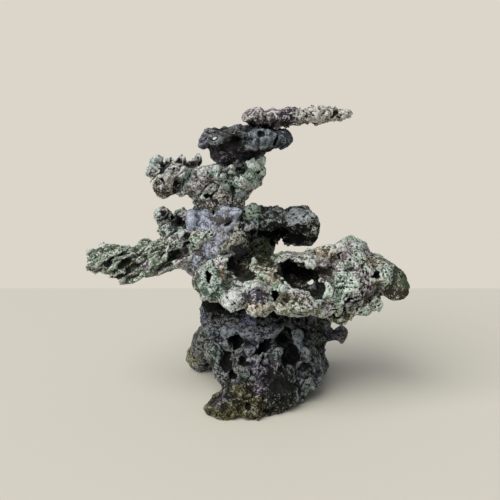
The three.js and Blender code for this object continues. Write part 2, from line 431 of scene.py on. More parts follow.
def relief_nodes(name, grid, look):
    tree = bpy.data.node_groups.new(name, "GeometryNodeTree")
    tree.interface.new_socket("Clay", in_out="INPUT", socket_type="NodeSocketGeometry")
    tree.interface.new_socket("Rock", in_out="OUTPUT", socket_type="NodeSocketGeometry")
    clay = add_node(tree, "NodeGroupInput")
    here = add_node(tree, "GeometryNodeInputPosition")
    normal = add_node(tree, "GeometryNodeInputNormal")
    depth = depth_inside(tree, clay, here, normal)

    turned = add_node(
        tree,
        "ShaderNodeVectorRotate",
        {"Vector": here, "Rotation": in_radians(look["turn"])},
        rotation_type="EULER_XYZ",
    )
    placed = add_node(tree, "ShaderNodeVectorMath", [turned, look["stretch"]], operation="MULTIPLY")
    noise = add_node(
        tree, "ShaderNodeTexNoise", {"Vector": placed, "Scale": 1 / (SHAKE_SIZE * MM), "Detail": 0.0}
    )
    shake = add_node(
        tree, "ShaderNodeVectorMath", [noise.outputs["Color"], (0.5, 0.5, 0.5)], operation="SUBTRACT"
    )
    shaken = add_node(
        tree, "ShaderNodeVectorMath", [shake, [look["shake"] * MM] * 3, placed], operation="MULTIPLY_ADD"
    )
    uneven = add_node(
        tree, "ShaderNodeVectorMath", [shake, [PIT_SHAKE * MM] * 3, here], operation="MULTIPLY_ADD"
    )

    pitted = bored(tree, uneven, depth, look.get("pits", ()), PIT_RIM)
    body = with_skin_relief(tree, pitted, placed, shaken, look)
    rough = 1.0
    for centre, radii in look.get("worn", ()):
        away = radii_from(tree, uneven, centre, radii)
        fading = add_node(
            tree, "ShaderNodeMapRange", [away, *WORN_EDGE, WORN, 1.0], interpolation_type="SMOOTHSTEP"
        )
        rough = add_node(tree, "ShaderNodeMath", [rough, fading], operation="MINIMUM")
    relief = add_node(tree, "ShaderNodeMath", [body, pitted], operation="SUBTRACT")
    body = add_node(tree, "ShaderNodeMath", [relief, rough, pitted], operation="MULTIPLY_ADD")
    body = with_pores(tree, body, depth, here, shaken, look)
    body = bored(tree, uneven, body, look.get("holes", ()), HOLE_RIM)

    # The floor is flat, so nothing reaches below it.
    above_floor = add_node(tree, "ShaderNodeSeparateXYZ", [here]).outputs[2]
    swollen = add_node(tree, "ShaderNodeMath", [body, look["swell"] * MM], operation="ADD")
    body = add_node(tree, "ShaderNodeMath", [swollen, above_floor], operation="MINIMUM")

    rock = mesh_where_zero(tree, body, grid)
    rock = with_measures(tree, rock, here, normal, depth, rough)
    soft = add_node(tree, "GeometryNodeSetShadeSmooth", {"Geometry": rock})
    add_node(tree, "NodeGroupOutput", [soft])
    return tree


print("share of the relief that wear leaves:", WORN)

# %% Turn clay into coral rock
MARGIN = 7  # mm of room round the clay for its relief
DRAFT = 1.0  # a quick try uses a coarser grid
MOST_TRIANGLES = 190000  # in one rock


def carve(rock, look):
    corners = [rock.matrix_world @ v.co for v in rock.data.vertices]
    low = [min(c[i] for c in corners) - MARGIN * MM for i in range(3)]
    high = [max(c[i] for c in corners) + MARGIN * MM for i in range(3)]
    voxel = look["voxel"] * DRAFT * MM
    steps = [math.ceil((high[i] - low[i]) / voxel) for i in range(3)]
    only(rock)
    modifier = rock.modifiers.new("Relief", "NODES")
    modifier.node_group = relief_nodes(rock.name + "_relief", (low, high, steps), look)
    started = time.time()
    bpy.ops.object.modifier_apply(modifier=modifier.name)
    triangles = sum(len(face.vertices) - 2 for face in rock.data.polygons)
    if triangles > MOST_TRIANGLES:
        finish_with(rock, "DECIMATE", ratio=MOST_TRIANGLES / triangles)
    print(f"{rock.name}: grid {steps}, {triangles} triangles, {time.time() - started:.1f} s")


# %% [markdown]
# ## The stone and its colours
# Dead coral rock is coral limestone, mostly aragonite. It is white when fresh, and years under water give it a
# crust of green and purple algae, which dries to sage, mint, slate and mauve. Tips are rubbed pale, and pores
# are painted dark as painted shade. The surface could be painted by hand, but a procedural recipe covers all
# sides of the rocks alike.
#
# The recipe first works out a body colour, which drifts slowly and changes in patches. Then it adds up one
# number, the tone, from mottling, crumbs and the stored hollow, which brings dirt and painted shade, and it
# takes off the painted shade of patches. A low tone darkens the body colour, and a high one bleaches it.

# %% Colours from hex codes
def linear(code):
    """An sRGB hex colour as the linear RGBA that shaders count in."""
    channels = [int(code[i : i + 2], 16) / 255 for i in (1, 3, 5)]
    return [c / 12.92 if c <= 0.04045 else ((c + 0.055) / 1.055) ** 2.4 for c in channels] + [1.0]


print("a mid grey in linear light:", round(linear("#808080")[0], 3))

# %% [markdown]
# Crusts of algae grow in blotches of some centimetres, and flecks of a few millimetres lie on them. Each is a
# noise of that size, cut at its upper values and mixed over the body colour.

# %% Body colour
# Each crust: its colour, its size in mm, its octaves, the noise where it starts and is full, and its share.
CRUSTS = [
    ("drift", 24, 4.0, (0.42, 0.58), 1.0),
    ("stain", 17, 4.0, (0.52, 0.64), 0.7),
    ("fleck", 7, 3.0, (0.54, 0.66), 0.7),
]
NOISE_ROUGHNESS = 0.6


def crusted(tree, place, look):
    body = linear(look["body"])
    for crust, size, octaves, edge, share in CRUSTS:
        noise = add_node(
            tree,
            "ShaderNodeTexNoise",
            {"Vector": place, "Scale": 1 / (size * MM), "Detail": octaves, "Roughness": NOISE_ROUGHNESS},
        )
        cover = add_node(
            tree, "ShaderNodeMapRange", [noise, *edge, 0.0, share], interpolation_type="SMOOTHSTEP"
        )
        mix = add_node(tree, "ShaderNodeMix", {0: cover, 6: body, 7: linear(look[crust])}, data_type="RGBA")
        body = mix.outputs[2]
    return body


print("crusts:", [crust[0] for crust in CRUSTS])

# %% [markdown]
# Some crusts have a place of their own, such as the purple on the nose or the olive on the foot. Each such
# patch is an ellipsoid round its place, and a ragged noise frays its edge. A patch may also carry painted
# shade for a hollow, a cave or an underside, which lowers the tone there.

# %% Patches of other crusts
RAGGED_SIZE = 8  # size of the frayed edge, in mm
RAG = 2.4  # how far the noise frays the edge, in radii
PATCH_EDGE = (2.4, 2.0)  # frayed distances where a patch starts and is full


def patched(tree, place, body, patches):
    """The body colour with its patches, and how much painted shade each point gets."""
    ragged = add_node(
        tree,
        "ShaderNodeTexNoise",
        {"Vector": place, "Scale": 1 / (RAGGED_SIZE * MM), "Detail": 5.0, "Roughness": 0.7},
    )
    painted_shade = 0.0
    for centre, radii, code, cover, *shade in patches:
        moved = add_node(
            tree,
            "ShaderNodeMapping",
            {"Vector": place, "Location": in_metres(centre), "Scale": in_metres(radii)},
            vector_type="TEXTURE",
        )
        away = add_node(tree, "ShaderNodeVectorMath", [moved], operation="LENGTH").outputs["Value"]
        edge = add_node(tree, "ShaderNodeMath", [ragged, RAG, away], operation="MULTIPLY_ADD")
        painted = add_node(
            tree, "ShaderNodeMapRange", [edge, *PATCH_EDGE, 0.0, cover], interpolation_type="SMOOTHSTEP"
        )
        mix = add_node(tree, "ShaderNodeMix", {0: painted, 6: body, 7: linear(code)}, data_type="RGBA")
        body = mix.outputs[2]
        # The fifth number of a patch is painted shade, which lowers the tone where shade falls.
        if shade:
            dim = add_node(
                tree,
                "ShaderNodeMapRange",
                [edge, *PATCH_EDGE, 0.0, shade[0]],
                interpolation_type="SMOOTHSTEP",
            )
            painted_shade = add_node(tree, "ShaderNodeMath", [painted_shade, dim], operation="MAXIMUM")
    return body, painted_shade


print("patches start and are full at", PATCH_EDGE)

# %% [markdown]
# The tone has four parts. Mottling of 8 mm comes from dirt. Crumbs of 2 to 3 mm are the broken cups of the
# coral, and some regions have more of them. Tips are rubbed light, and hollows are dark with dirt and painted
# shade. Wide vales get painted shade, so they are a little darker than ridges.

# %% Tone
TONE = 0.74  # tone of flat, even stone
MOTTLE_SIZE = 8  # sizes in mm
REGION_SIZE = 34
CRUMB_SIZE = 2.4
FINE_SIZE = 2.3
MOTTLE = 0.9  # how much the mottling counts
CRUMB = (3.6, 1.3)  # how much the fine noise counts, and the middle that is taken off
WORN_CRUMBS = (0.8, 0.2)  # crumbs count less where the rock is worn
# Tips are rubbed lighter, and hollows get dirt and painted shade.
TIPS, HOLLOW_DIRT_AND_SHADE = -0.5, 1.4  # what is taken off the tone, for a look whose relief is 1
# Wide vales get painted shade, and ridges are a little lighter.
RIDGES, VALE_SHADE = -0.05, 0.35
NEAR, WIDE = 1.0, 2.5  # mm of height over which they fade, among near and among wider neighbours


def tone_of(tree, place, look, painted_shade, region, fine):
    rough = add_node(tree, "ShaderNodeAttribute", attribute_name="rough").outputs["Fac"]
    hollow = add_node(tree, "ShaderNodeAttribute", attribute_name="hollow").outputs["Fac"]
    vale = add_node(tree, "ShaderNodeAttribute", attribute_name="vale").outputs["Fac"]
    calmed = add_node(tree, "ShaderNodeMath", [rough, *WORN_CRUMBS], operation="MULTIPLY_ADD")
    strength = add_node(tree, "ShaderNodeMath", [region, calmed], operation="MULTIPLY")
    strength = add_node(tree, "ShaderNodeMath", [strength, look["contrast"]], operation="MULTIPLY")

    cups = add_node(
        tree, "ShaderNodeTexVoronoi", {"Vector": place, "Scale": 1 / (CRUMB_SIZE * MM)}, feature="F1"
    )
    peaks = add_node(tree, "ShaderNodeMath", [fine, CRUMB[0]], operation="MULTIPLY")
    dents = add_node(tree, "ShaderNodeMath", [cups, CRUMB[1]], operation="ADD")
    crumb = add_node(tree, "ShaderNodeMath", [peaks, dents], operation="SUBTRACT")

    mottling = add_node(
        tree,
        "ShaderNodeTexNoise",
        {"Vector": place, "Scale": 1 / (MOTTLE_SIZE * MM), "Detail": 3.0, "Roughness": NOISE_ROUGHNESS},
    )
    slow = add_node(tree, "ShaderNodeMath", [mottling, 0.5], operation="SUBTRACT")
    slow = add_node(tree, "ShaderNodeMath", [slow, MOTTLE * look["contrast"]], operation="MULTIPLY")
    even = add_node(tree, "ShaderNodeMath", [slow, TONE], operation="ADD")
    tone = add_node(tree, "ShaderNodeMath", [crumb, strength, even], operation="MULTIPLY_ADD")

    near = [hollow, -NEAR, NEAR, TIPS * look["relief"], HOLLOW_DIRT_AND_SHADE * look["relief"]]
    for heights in (near, [vale, -WIDE, WIDE, RIDGES, VALE_SHADE]):
        shade = add_node(tree, "ShaderNodeMapRange", heights, interpolation_type="SMOOTHSTEP")
        tone = add_node(tree, "ShaderNodeMath", [tone, shade], operation="SUBTRACT")
    # Painted shade from the patches lowers the tone.
    return add_node(tree, "ShaderNodeMath", [tone, painted_shade], operation="SUBTRACT")


print("tone of flat, even stone:", TONE)

# %% [markdown]
# Real coral rock has pinholes of about 1 mm all over. They are too small for the mesh, so they are drawn in
# the colour as dark dots of painted shade. They are up to 2 mm wide, which is wider than life, so that they
# show. Each cell of a Voronoi pattern draws the width of its hole by lot.

# %% Pinholes
PINHOLE_SIZE = 3.2  # mm from hole to hole
PINHOLE_WIDTH = 0.32  # radius of the widest, as a share of that
PINHOLE_EDGE = 0.06  # half the width of its soft edge, as a share too
PINHOLE_LOTS = (0.4, 1.0)  # lots that draw no pinhole, and the widest


def pinholes(tree, place, region, share):
    cells = add_node(
        tree, "ShaderNodeTexVoronoi", {"Vector": place, "Scale": 1 / (PINHOLE_SIZE * MM)}, feature="F1"
    )
    lot = add_node(tree, "ShaderNodeSeparateColor", {"Color": cells.outputs["Color"]})
    width = add_node(
        tree,
        "ShaderNodeMapRange",
        [lot, *PINHOLE_LOTS, 0.0, PINHOLE_WIDTH],
        interpolation_type="SMOOTHSTEP",
    )
    outside = add_node(tree, "ShaderNodeMath", [cells, width], operation="SUBTRACT")
    dark = add_node(
        tree,
        "ShaderNodeMapRange",
        [outside, PINHOLE_EDGE, -PINHOLE_EDGE, 0.0, share],
        interpolation_type="SMOOTHSTEP",
    )
    return add_node(tree, "ShaderNodeMath", [dark, region], operation="MULTIPLY")


print("widest pinhole:", round(2 * PINHOLE_WIDTH * PINHOLE_SIZE, 1), "mm")

# %% [markdown]
# Coral limestone is dull: thousands of tiny facets scatter the light, so its roughness is near 1 and its
# gloss is half that of smooth stone. Its IOR, about 1.5, is the shader's default. The finest relief, grit of
# 1.6 mm and the crumbs, is left to a bump.

# %% Stone
STONE_ROUGHNESS = 0.92
STONE_GLOSS = 0.25
GRIT_SIZE = 1.6  # in mm
BUMP_HEIGHT = 1.0  # in mm
TINT = 0.35  # share of the body colour in the pale tips
LIT = (0.05, 0.45)  # tones between which the dark colour gives way to the body colour
RUBBED = (0.55, 0.95)  # tones between which the pale colour comes in
FEW_TO_MANY = (0.38, 0.6, 0.5, 1.0)  # two values of the slow noise, and the share of the crumbs at each
# Deep pores get painted shade in the pore colour, more of it the deeper they lie.
SHADED_PORE = (1.5, 5.0, 0.0, 0.9)  # two depths in mm, and the share of the pore colour at each


def stone(name, look):
    """A matt porous stone. look gives its colours, its mottling and its patches."""
    material = bpy.data.materials.new(name)
    material.use_nodes = True
    tree = material.node_tree
    shader = tree.nodes["Principled BSDF"]
    shader.inputs["Roughness"].default_value = STONE_ROUGHNESS
    shader.inputs["Specular IOR Level"].default_value = STONE_GLOSS
    place = add_node(tree, "ShaderNodeTexCoord").outputs["Object"]

    # Some regions have more crumbs and pinholes than others.
    slow = add_node(
        tree,
        "ShaderNodeTexNoise",
        {"Vector": place, "Scale": 1 / (REGION_SIZE * MM), "Detail": 1.0, "Roughness": NOISE_ROUGHNESS},
    )
    region = add_node(tree, "ShaderNodeMapRange", [slow, *FEW_TO_MANY], interpolation_type="SMOOTHSTEP")
    fine = add_node(
        tree,
        "ShaderNodeTexNoise",
        {"Vector": place, "Scale": 1 / (FINE_SIZE * MM), "Detail": 2.0, "Roughness": 0.75},
    )

    body, painted_shade = patched(tree, place, crusted(tree, place, look), look.get("patches", ()))
    tone = tone_of(tree, place, look, painted_shade, region, fine)
    tinted = add_node(
        tree, "ShaderNodeMix", {0: TINT, 6: linear(look["pale"]), 7: body}, data_type="RGBA"
    ).outputs[2]
    lit = add_node(tree, "ShaderNodeMapRange", [tone, *LIT, 0.0, 1.0], interpolation_type="SMOOTHSTEP")
    colour = add_node(
        tree, "ShaderNodeMix", {0: lit, 6: linear(look["dark"]), 7: body}, data_type="RGBA"
    ).outputs[2]
    rubbed = add_node(
        tree,
        "ShaderNodeMapRange",
        [tone, *RUBBED, 0.0, look["pale_share"]],
        interpolation_type="SMOOTHSTEP",
    )
    colour = add_node(tree, "ShaderNodeMix", {0: rubbed, 6: colour, 7: tinted}, data_type="RGBA").outputs[2]

    # Pinholes and deep pores get painted shade inside, in the pore colour.
    pinhole = pinholes(tree, place, region, look["pinhole_share"])
    depth = add_node(tree, "ShaderNodeAttribute", attribute_name="depth").outputs["Fac"]
    deep = add_node(tree, "ShaderNodeMapRange", [depth, *SHADED_PORE], interpolation_type="SMOOTHSTEP")
    dark = add_node(tree, "ShaderNodeMath", [pinhole, deep], operation="MAXIMUM")
    colour = add_node(
        tree, "ShaderNodeMix", {0: dark, 6: colour, 7: linear(look["pore"])}, data_type="RGBA"
    ).outputs[2]
    tree.links.new(colour, shader.inputs["Base Color"])

    grit = add_node(
        tree,
        "ShaderNodeTexNoise",
        {"Vector": place, "Scale": 1 / (GRIT_SIZE * MM), "Detail": 2.0, "Roughness": 0.7},
    )
    raised = add_node(tree, "ShaderNodeMath", [grit, fine], operation="ADD")
    height = add_node(tree, "ShaderNodeMath", [raised, pinhole], operation="SUBTRACT")
    bump = add_node(
        tree, "ShaderNodeBump", {"Strength": look["bump"], "Distance": BUMP_HEIGHT * MM, "Height": height}
    )
    tree.links.new(bump.outputs[0], shader.inputs["Normal"])
    print(f"{name}: {len(tree.nodes)} nodes, {len(look.get('patches', ()))} patches")
    return material


# %% Finish a rock
def set_in_place(rock, node, material):
    """Gives a carved rock its material and puts it on the stack in place of its CAD node."""
    rock.data.materials.clear()
    rock.data.materials.append(material)
    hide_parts(node)
    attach(rock, "root")


# %% [markdown]
# ## Looks that several rocks share
# The relief of most rocks is the same: dents of 17 mm with dents of 7 mm in them, a rough grain, and pores of
# about 5 mm. These are the sizes of the cups, the broken branches and the worm holes of old coral rock. A
# rock's own look starts from this one and changes what differs.
#
# - voxel is the side of a grid cell, and swell is how far the whole skin moves out in the end.
# - turn is in degrees, stretch is a factor for each axis, and shake is how far the noise moves a place.
# - lobes and grain are pairs of a size and a height. Lobes with a height below zero are dents.
# - creases give a size, a depth and a width.
# - pores give the spacing, the radius, the share of cells that have one, and the depth they end at.
#
# All lengths are in mm. The width of a crease is a span of the noise.

# %% Common relief
CORAL = {
    "voxel": 1.4,
    "turn": (25, 40, 15),
    "stretch": (1, 1, 1),
    "shake": 9,
    "lobes": [(17, -2.4), (7, -0.7)],
    "creases": [(40, 2.5, 0.03)],
    "grain": [(26, 4.5), (9, 1.8), (3.4, 1.3)],
    "pores": [(9, 2.4, 0.25, 7), (4.5, 1.6, 0.35, 4)],
    "swell": -0.4,
}
print("dents of", [size for size, height in CORAL["lobes"]], "mm on most rocks")

# %% [markdown]
# Two stones return all over the stack. One is sage with mauve crusts, rubbed pale on its tips. The other is a
# darker copy of it for the rocks in the shade: a dark crust of dried algae, with painted shade in its darker
# colours. The second starts from the first, so only its colours are given.

# %% Common colours
SAGE = {
    "body": "#7f9680",
    "drift": "#948c8f",
    "stain": "#807148",
    "fleck": "#786169",
    "pale": "#eef5f0",
    "dark": "#36332a",
    # pore is the colour of the painted shade in pores and pinholes
    "pore": "#0c0d0a",
    "pale_share": 0.85,
    "contrast": 1.0,
    "relief": 0.35,
    "pinhole_share": 0.85,
    "bump": 0.9,
}
# The darker copy: a dark crust, with painted shade.
DARK_CRUST_AND_SHADE = SAGE | {
    "body": "#37443f",
    "drift": "#494555",
    "stain": "#4f432a",
    "fleck": "#4b3a4e",
    "pale": "#a4aca7",
    "dark": "#161714",
    "pore": "#060605",
}
print("stones:", SAGE["body"], "in the light and", DARK_CRUST_AND_SHADE["body"], "in the shade")

# %% [markdown]
# ## The rocks, from the floor up
# ### Base rock
# The base is a boulder that stands on a broad front foot, a right foot and a heel. It is riddled with holes
# as wide as a thumb. Random pores would never land where the photograph shows them, so each hole is a pit
# with a place of its own, and the lobes between them are knobs. The base is larger than most of the other
# rocks, so its grid is a little coarser, which keeps it under the limit of triangles.

# %% Shape the base rock
base = rough_out(
    "base_rock",
    knobs=[
        ((-62, 26, 62), (26, 30, 24)),  # left flank
        ((-50, 10, 80), (24, 28, 24)),
        ((-44, -16, 62), (20, 26, 22)),  # fills the neck between the flank and the front
        ((-36, -34, 44), (16, 20, 18)),
        ((8, -50, 58), (36, 24, 26)),
        ((30, -46, 34), (34, 26, 26)),
        ((66, -30, 89), (10, 13, 13)),  # bright lobes beside the deep pit
        ((77, -42, 73), (8, 9, 7)),
        ((40, -56, 76), (8, 9, 11)),
        ((44, -58, 18), (26, 24, 18)),  # fills the foot on the right
        ((4, -90, 8), (17, 13, 12)),  # second toe
        ((-50, -20, 94), (14, 14, 14)),  # seam under the mortar
        ((-26, -34, 97), (16, 14, 13)),
        ((2, -40, 99), (16, 12, 13)),
        ((28, -34, 97), (15, 14, 14)),
        ((50, -20, 96), (14, 16, 14)),
        ((-66, 46, 42), (20, 20, 20)),  # joins the heel to the flank
    ],
    softness=12,
)
base_pits = [
    ((-19, -40, 85), (10, 20, 12)),
    ((18, -46, 80), (8, 20, 13), (0, 25, 0)),
    ((49, -34, 88), (11, 24, 14)),
    ((59, -42, 68), (16, 28, 14)),  # the deep one
    ((72, -50, 60), (9, 18, 7)),
    ((-31, -46, 61), (9, 15, 11)),
    ((-21, -58, 46), (7, 13, 6)),
    ((72, -50, 46), (5, 14, 7)),
    ((-72, 16, 4), (27, 34, 14)),  # under the flank
    ((92, -40, 4), (18, 34, 16)),
    ((-2, -92, 18), (3, 7, 3)),
    ((-62, -22, 66), (4, 10, 4)),
    ((-8, -66, 66), (3, 8, 3)),
]
base_relief = {"voxel": 1.6, "lobes": [(17, -2.0), (7, -0.5)]}
carve(base, CORAL | base_relief | {"pits": base_pits})

# %% [markdown]
# The base is aged coral limestone with a dark crust, and it gets painted shade, as it stands under the shelf.
# Its foot is olive, as if it had stood in sand, and gets painted shade too. Purple blotches of three to five
# centimetres are coralline algae, and slate shows where mortar ran down.

# %% Colour the base rock
base_colours = [
    # olive foot, with painted shade
    ((-10, -92, 6), (80, 46, 36), "#554e2b", 1.0, 0.33),  # olive foot
    ((38, -66, 28), (26, 40, 32), "#191b13", 0.9, 0.45),  # shade beside it
    ((-92, 50, 28), (22, 24, 20), "#6b6748", 0.9),  # heel
    ((-62, 0, 70), (24, 30, 24), "#4c4a42", 0.7),  # left flank
    ((-5, -40, 98), (50, 40, 16), "#50546a", 0.7),  # slate where the mortar ran
    ((64, -40, 90), (14, 20, 14), "#4c5765", 0.9),
    # purple crusts of coralline algae, each with a little painted shade
    ((15, -66, 62), (24, 16, 13), "#47394f", 0.8, 0.1),  # purple crusts
    ((18, -82, 40), (16, 14, 11), "#5f4c60", 0.8, 0.1),
    ((-40, -84, 24), (14, 14, 12), "#4f4258", 0.7, 0.1),
    ((-26, -50, 54), (20, 20, 18), "#3b3338", 0.8, 0.2),
]
aged_base = stone("aged_coral_base", DARK_CRUST_AND_SHADE | {"patches": base_colours})
set_in_place(base, "base_rock", aged_base)

# %% [markdown]
# ### Back rock
# A dark stub stands behind the base at the right. It is in the shade and little of it shows, so the common
# relief and the common dark stone do for it. Two knobs make its top uneven.

# %% Shape and colour the back rock
back = rough_out("back_rock", knobs=[((90, 62, 84), (18, 20, 14)), ((112, 62, 80), (14, 18, 12))])
carve(back, CORAL)
set_in_place(back, "back_rock", stone("aged_coral_back", DARK_CRUST_AND_SHADE))

# %% [markdown]
# ### Shelf rock
# The shelf is the broad plate that carries the upper rocks and reaches far out to the right. It has a deep
# hollow with a window through its back wall, a cave behind its nose, and worn faces at the left and at the
# tip. It could be cut up into three simpler rocks, but the real one is a single piece, so it stays one mesh.

# %% Knobs of the shelf rock
shelf = rough_out(
    "shelf_rock",
    knobs=[
        ((52, -60, 164), (24, 26, 17)),  # sloping face round the deep hollow
        ((98, -44, 160), (22, 30, 22)),
        ((44, -40, 188), (20, 24, 14)),
        ((80, -40, 200), (26, 22, 10)),
        ((112, -40, 146), (24, 26, 20)),
        ((65, -66, 146), (26, 26, 16)),
        ((96, -50, 140), (20, 24, 14)),
        ((118, -36, 132), (16, 20, 12)),
        ((85, -16, 204), (14, 16, 8)),  # upper edge
        ((98, -20, 208), (14, 16, 9)),
        ((111, -26, 211), (14, 16, 10)),
        ((122, -29, 214), (12, 14, 10)),
        ((113, -45, 124), (11, 12, 9)),  # knobs along the lower edge
        ((124, -44, 121), (9, 10, 8)),
        ((133, -40, 127), (9, 10, 8)),
        ((172, -40, 140), (9, 10, 10)),
        ((42, -80, 171), (7, 9, 7)),  # lip of the hollow
        ((54, -79, 167), (7, 9, 7)),
        ((66, -77, 163), (7, 9, 7)),
        ((77, -73, 160), (8, 9, 7)),
        ((11, -80, 178), (8, 9, 7)),
        ((-18, -82, 159), (14, 14, 13)),  # nose, with a smooth left half
        ((203, -20, 164), (14, 22, 18)),  # rounded tip
        ((200, -20, 149), (12, 20, 10)),
        ((210, -20, 153), (9, 18, 8)),
        ((5, -22, 193), (6, 14, 9)),  # ridge in the cave
    ],
)

# %% Holes of the shelf rock
shelf_pits = [
    ((67, -46, 180), (31, 50, 14), (0, 25, 0)),  # deep hollow
    ((87, -44, 166), (13, 36, 13)),
    ((-14, -38, 195), (15, 28, 15)),  # cave behind the nose, on both sides of a ridge
    ((-12, -58, 187), (16, 22, 10)),
    ((22, -30, 197), (12, 24, 9)),
    ((32, -72, 165), (4, 14, 8)),
    ((-54, -64, 184), (2.5, 16, 10), (0, -25, 0)),  # slit
    ((170, -48, 179), (6, 18, 5.5)),
    ((130, -60, 150), (12, 9, 2), (0, -30, 0)),  # crevices
    ((140, -60, 146), (13, 9, 2), (0, -30, 0)),
    ((182, -34, 144), (6, 20, 5), (0, 30, 0)),
    ((236, -20, 184), (26, 60, 18)),  # shoulder of the tip
    ((147, 10, 239.5), (26, 40, 18)),  # flattens the peak
]
window = [
    ((87, 20, 154), (4.5, 75, 3.2), (-14.5, 0, -5.8)),
    ((90, 20, 156), (3, 75, 3.6), (-14.5, 0, -5.8)),
]
shelf_worn = [
    ((-56, -62, 176), (24, 34, 30)),  # left block
    ((-22, -86, 160), (16, 16, 16)),  # left half of the nose
    ((208, -20, 164), (24, 46, 32)),  # tip
]
shelf_relief = {"voxel": 1.5, "lobes": [(17, -1.8), (7, -0.6)], "worn": shelf_worn}
carve(shelf, CORAL | shelf_relief | {"pits": shelf_pits, "holes": window})

# %% [markdown]
# The shelf lay in the light, so it has the most crusts: mint at the left, a pale nose with a purple and a tan
# blotch, mauve mottling beside the hollow, and a dark green tip. The inside of the hollow is painted dark
# brown as painted shade, and the cave, the tip and the undersides get painted shade too.

# %% Colour the shelf rock
shelf_colours = [
    ((-50, -66, 178), (28, 28, 32), "#485f50", 0.92),  # mint on the left block
    # dark green flank, with painted shade
    ((-78, -36, 166), (16, 24, 24), "#4a4f38", 0.9, 0.2),  # dark green flank
    ((-8, -92, 160), (30, 24, 20), "#a5aba8", 0.9),  # pale nose
    # purple, with painted shade
    ((10, -98, 166), (22, 18, 10), "#483d53", 1.0, 0.2),  # purple
    ((14, -94, 150), (24, 18, 8), "#9c8870", 0.8),  # tan
    # cave floor, with painted shade
    ((0, -10, 190), (34, 60, 15), "#5a5436", 1.0, 0.15),  # cave floor
    ((34, 20, 196), (26, 34, 10), "#5a6a3c", 0.9),
    ((-36, -56, 186), (3, 12, 18), "#7a5f3c", 0.9, 0.1),  # rusty line
    ((30, -54, 184), (20, 24, 11), "#80735a", 0.9),
    ((5, -20, 196), (6, 16, 12), "#93a497", 1.0),  # ridge in the cave
    # painted shade inside the deep hollow, dark brown
    ((70, -28, 178), (36, 40, 17), "#2c271a", 1.0, 0.35),  # inside of the deep hollow
    ((87, -30, 163), (7, 40, 6), "#8794a0", 1.0),
    ((50, -84, 152), (26, 16, 14), "#75735c", 0.8, 0.1),
    ((104, -50, 190), (18, 24, 20), "#6b5f63", 0.9, 0.1),  # mauve mottling
    ((100, -36, 210), (18, 22, 8), "#8d7d66", 0.8),
    ((128, -50, 170), (18, 20, 26), "#a8bbaf", 0.8),
    ((148, -58, 152), (24, 18, 15), "#5d5058", 0.85, 0.15),
    ((142, -46, 184), (12, 14, 14), "#75666a", 0.8),
    ((164, -40, 148), (14, 18, 14), "#6b685e", 0.7, 0.1),
    ((174, -26, 196), (24, 26, 11), "#7b7458", 0.8),
    ((186, -34, 175), (22, 26, 15), "#a4b4a8", 0.9),
    ((172, -44, 168), (13, 16, 9), "#847a5c", 0.8),
    ((158, -50, 166), (8, 14, 9), "#6d5a66", 0.8),
    ((180, -38, 158), (12, 14, 8), "#6b8a70", 0.8),
    # dark green crust on the tip, darkened more by painted shade
    ((222, -20, 166), (33, 90, 60), "#48543d", 0.95, 0.36),  # dark green tip
    # painted shade under the tip, over a brown crust
    ((202, -24, 150), (18, 50, 13), "#3d3220", 0.95, 0.3),  # brown underside of the tip
    # painted shade under the lower edge
    ((120, -38, 120), (22, 20, 12), "#5f5238", 0.9, 0.2),
]
sage_shelf = stone("sage_coral_shelf", SAGE | {"patches": shelf_colours})
set_in_place(shelf, "shelf_rock", sage_shelf)

# %% [markdown]
# ### Arch rock
# The arch roofs a cave and holds out a square block to the right. Light falls through between the block and
# the shelf, so the hollow under the arm is kept open by pits. The rim of the cave is a row of small knobs.

# %% Shape the arch rock
arch = rough_out(
    "arch_rock",
    knobs=[
        ((31, 12, 246), (22, 26, 16)),  # arm
        ((60, 14, 248), (20, 20, 14)),
        ((78, 12, 248), (14, 20, 14)),
        ((86, 12, 232), (11, 20, 14)),
        ((88, 6, 252), (7, 9, 8)),
        ((95, 8, 240), (6, 9, 6)),
        ((70, 0, 252), (7, 8, 5)),
        ((56, 0, 241), (6, 8, 5)),
        ((44, 32, 217), (10, 14, 8)),
        ((1, -8, 259), (16, 14, 12)),  # lump beside the mortar
        ((10, -16, 246), (8, 8, 5)),
        ((-8, -16, 228), (12, 12, 16)),  # back of the cave
        ((-12, -20, 247), (8, 8, 6), (0, -30, 0)),  # rim of the cave
        ((-18, -23, 239), (5, 6, 7), (0, -20, 0)),
        ((-23, -29, 229), (6, 6, 7), (0, -40, 0)),
        ((-31, -32, 222), (5, 6, 5)),
        ((-38, -36, 214), (7, 8, 5), (0, -40, 0)),
    ],
    softness=3,
)
arch_pits = [
    ((46, 0, 209), (15, 60, 6), (0, 8, 0)),
    ((44, -16, 229), (20, 26, 12), (0, -8, 0)),  # hollow under the arm
    ((70, -14, 224), (15, 24, 9), (0, 12, 0)),
    ((22, -22, 238), (12, 16, 12)),
    ((18, -10, 262), (4, 14, 5)),
    ((44, -10, 262), (3, 12, 6)),
]
carve(arch, CORAL | {"pits": arch_pits})

# %% [markdown]
# The arch is aged coral like the base, in deep shade under its arm, which is painted shade, as is the back of
# the cave. A mint lump sits at its left end, its block is rubbed pale in front, and green algae dried on the
# floor of the cave, painted lighter as painted light.

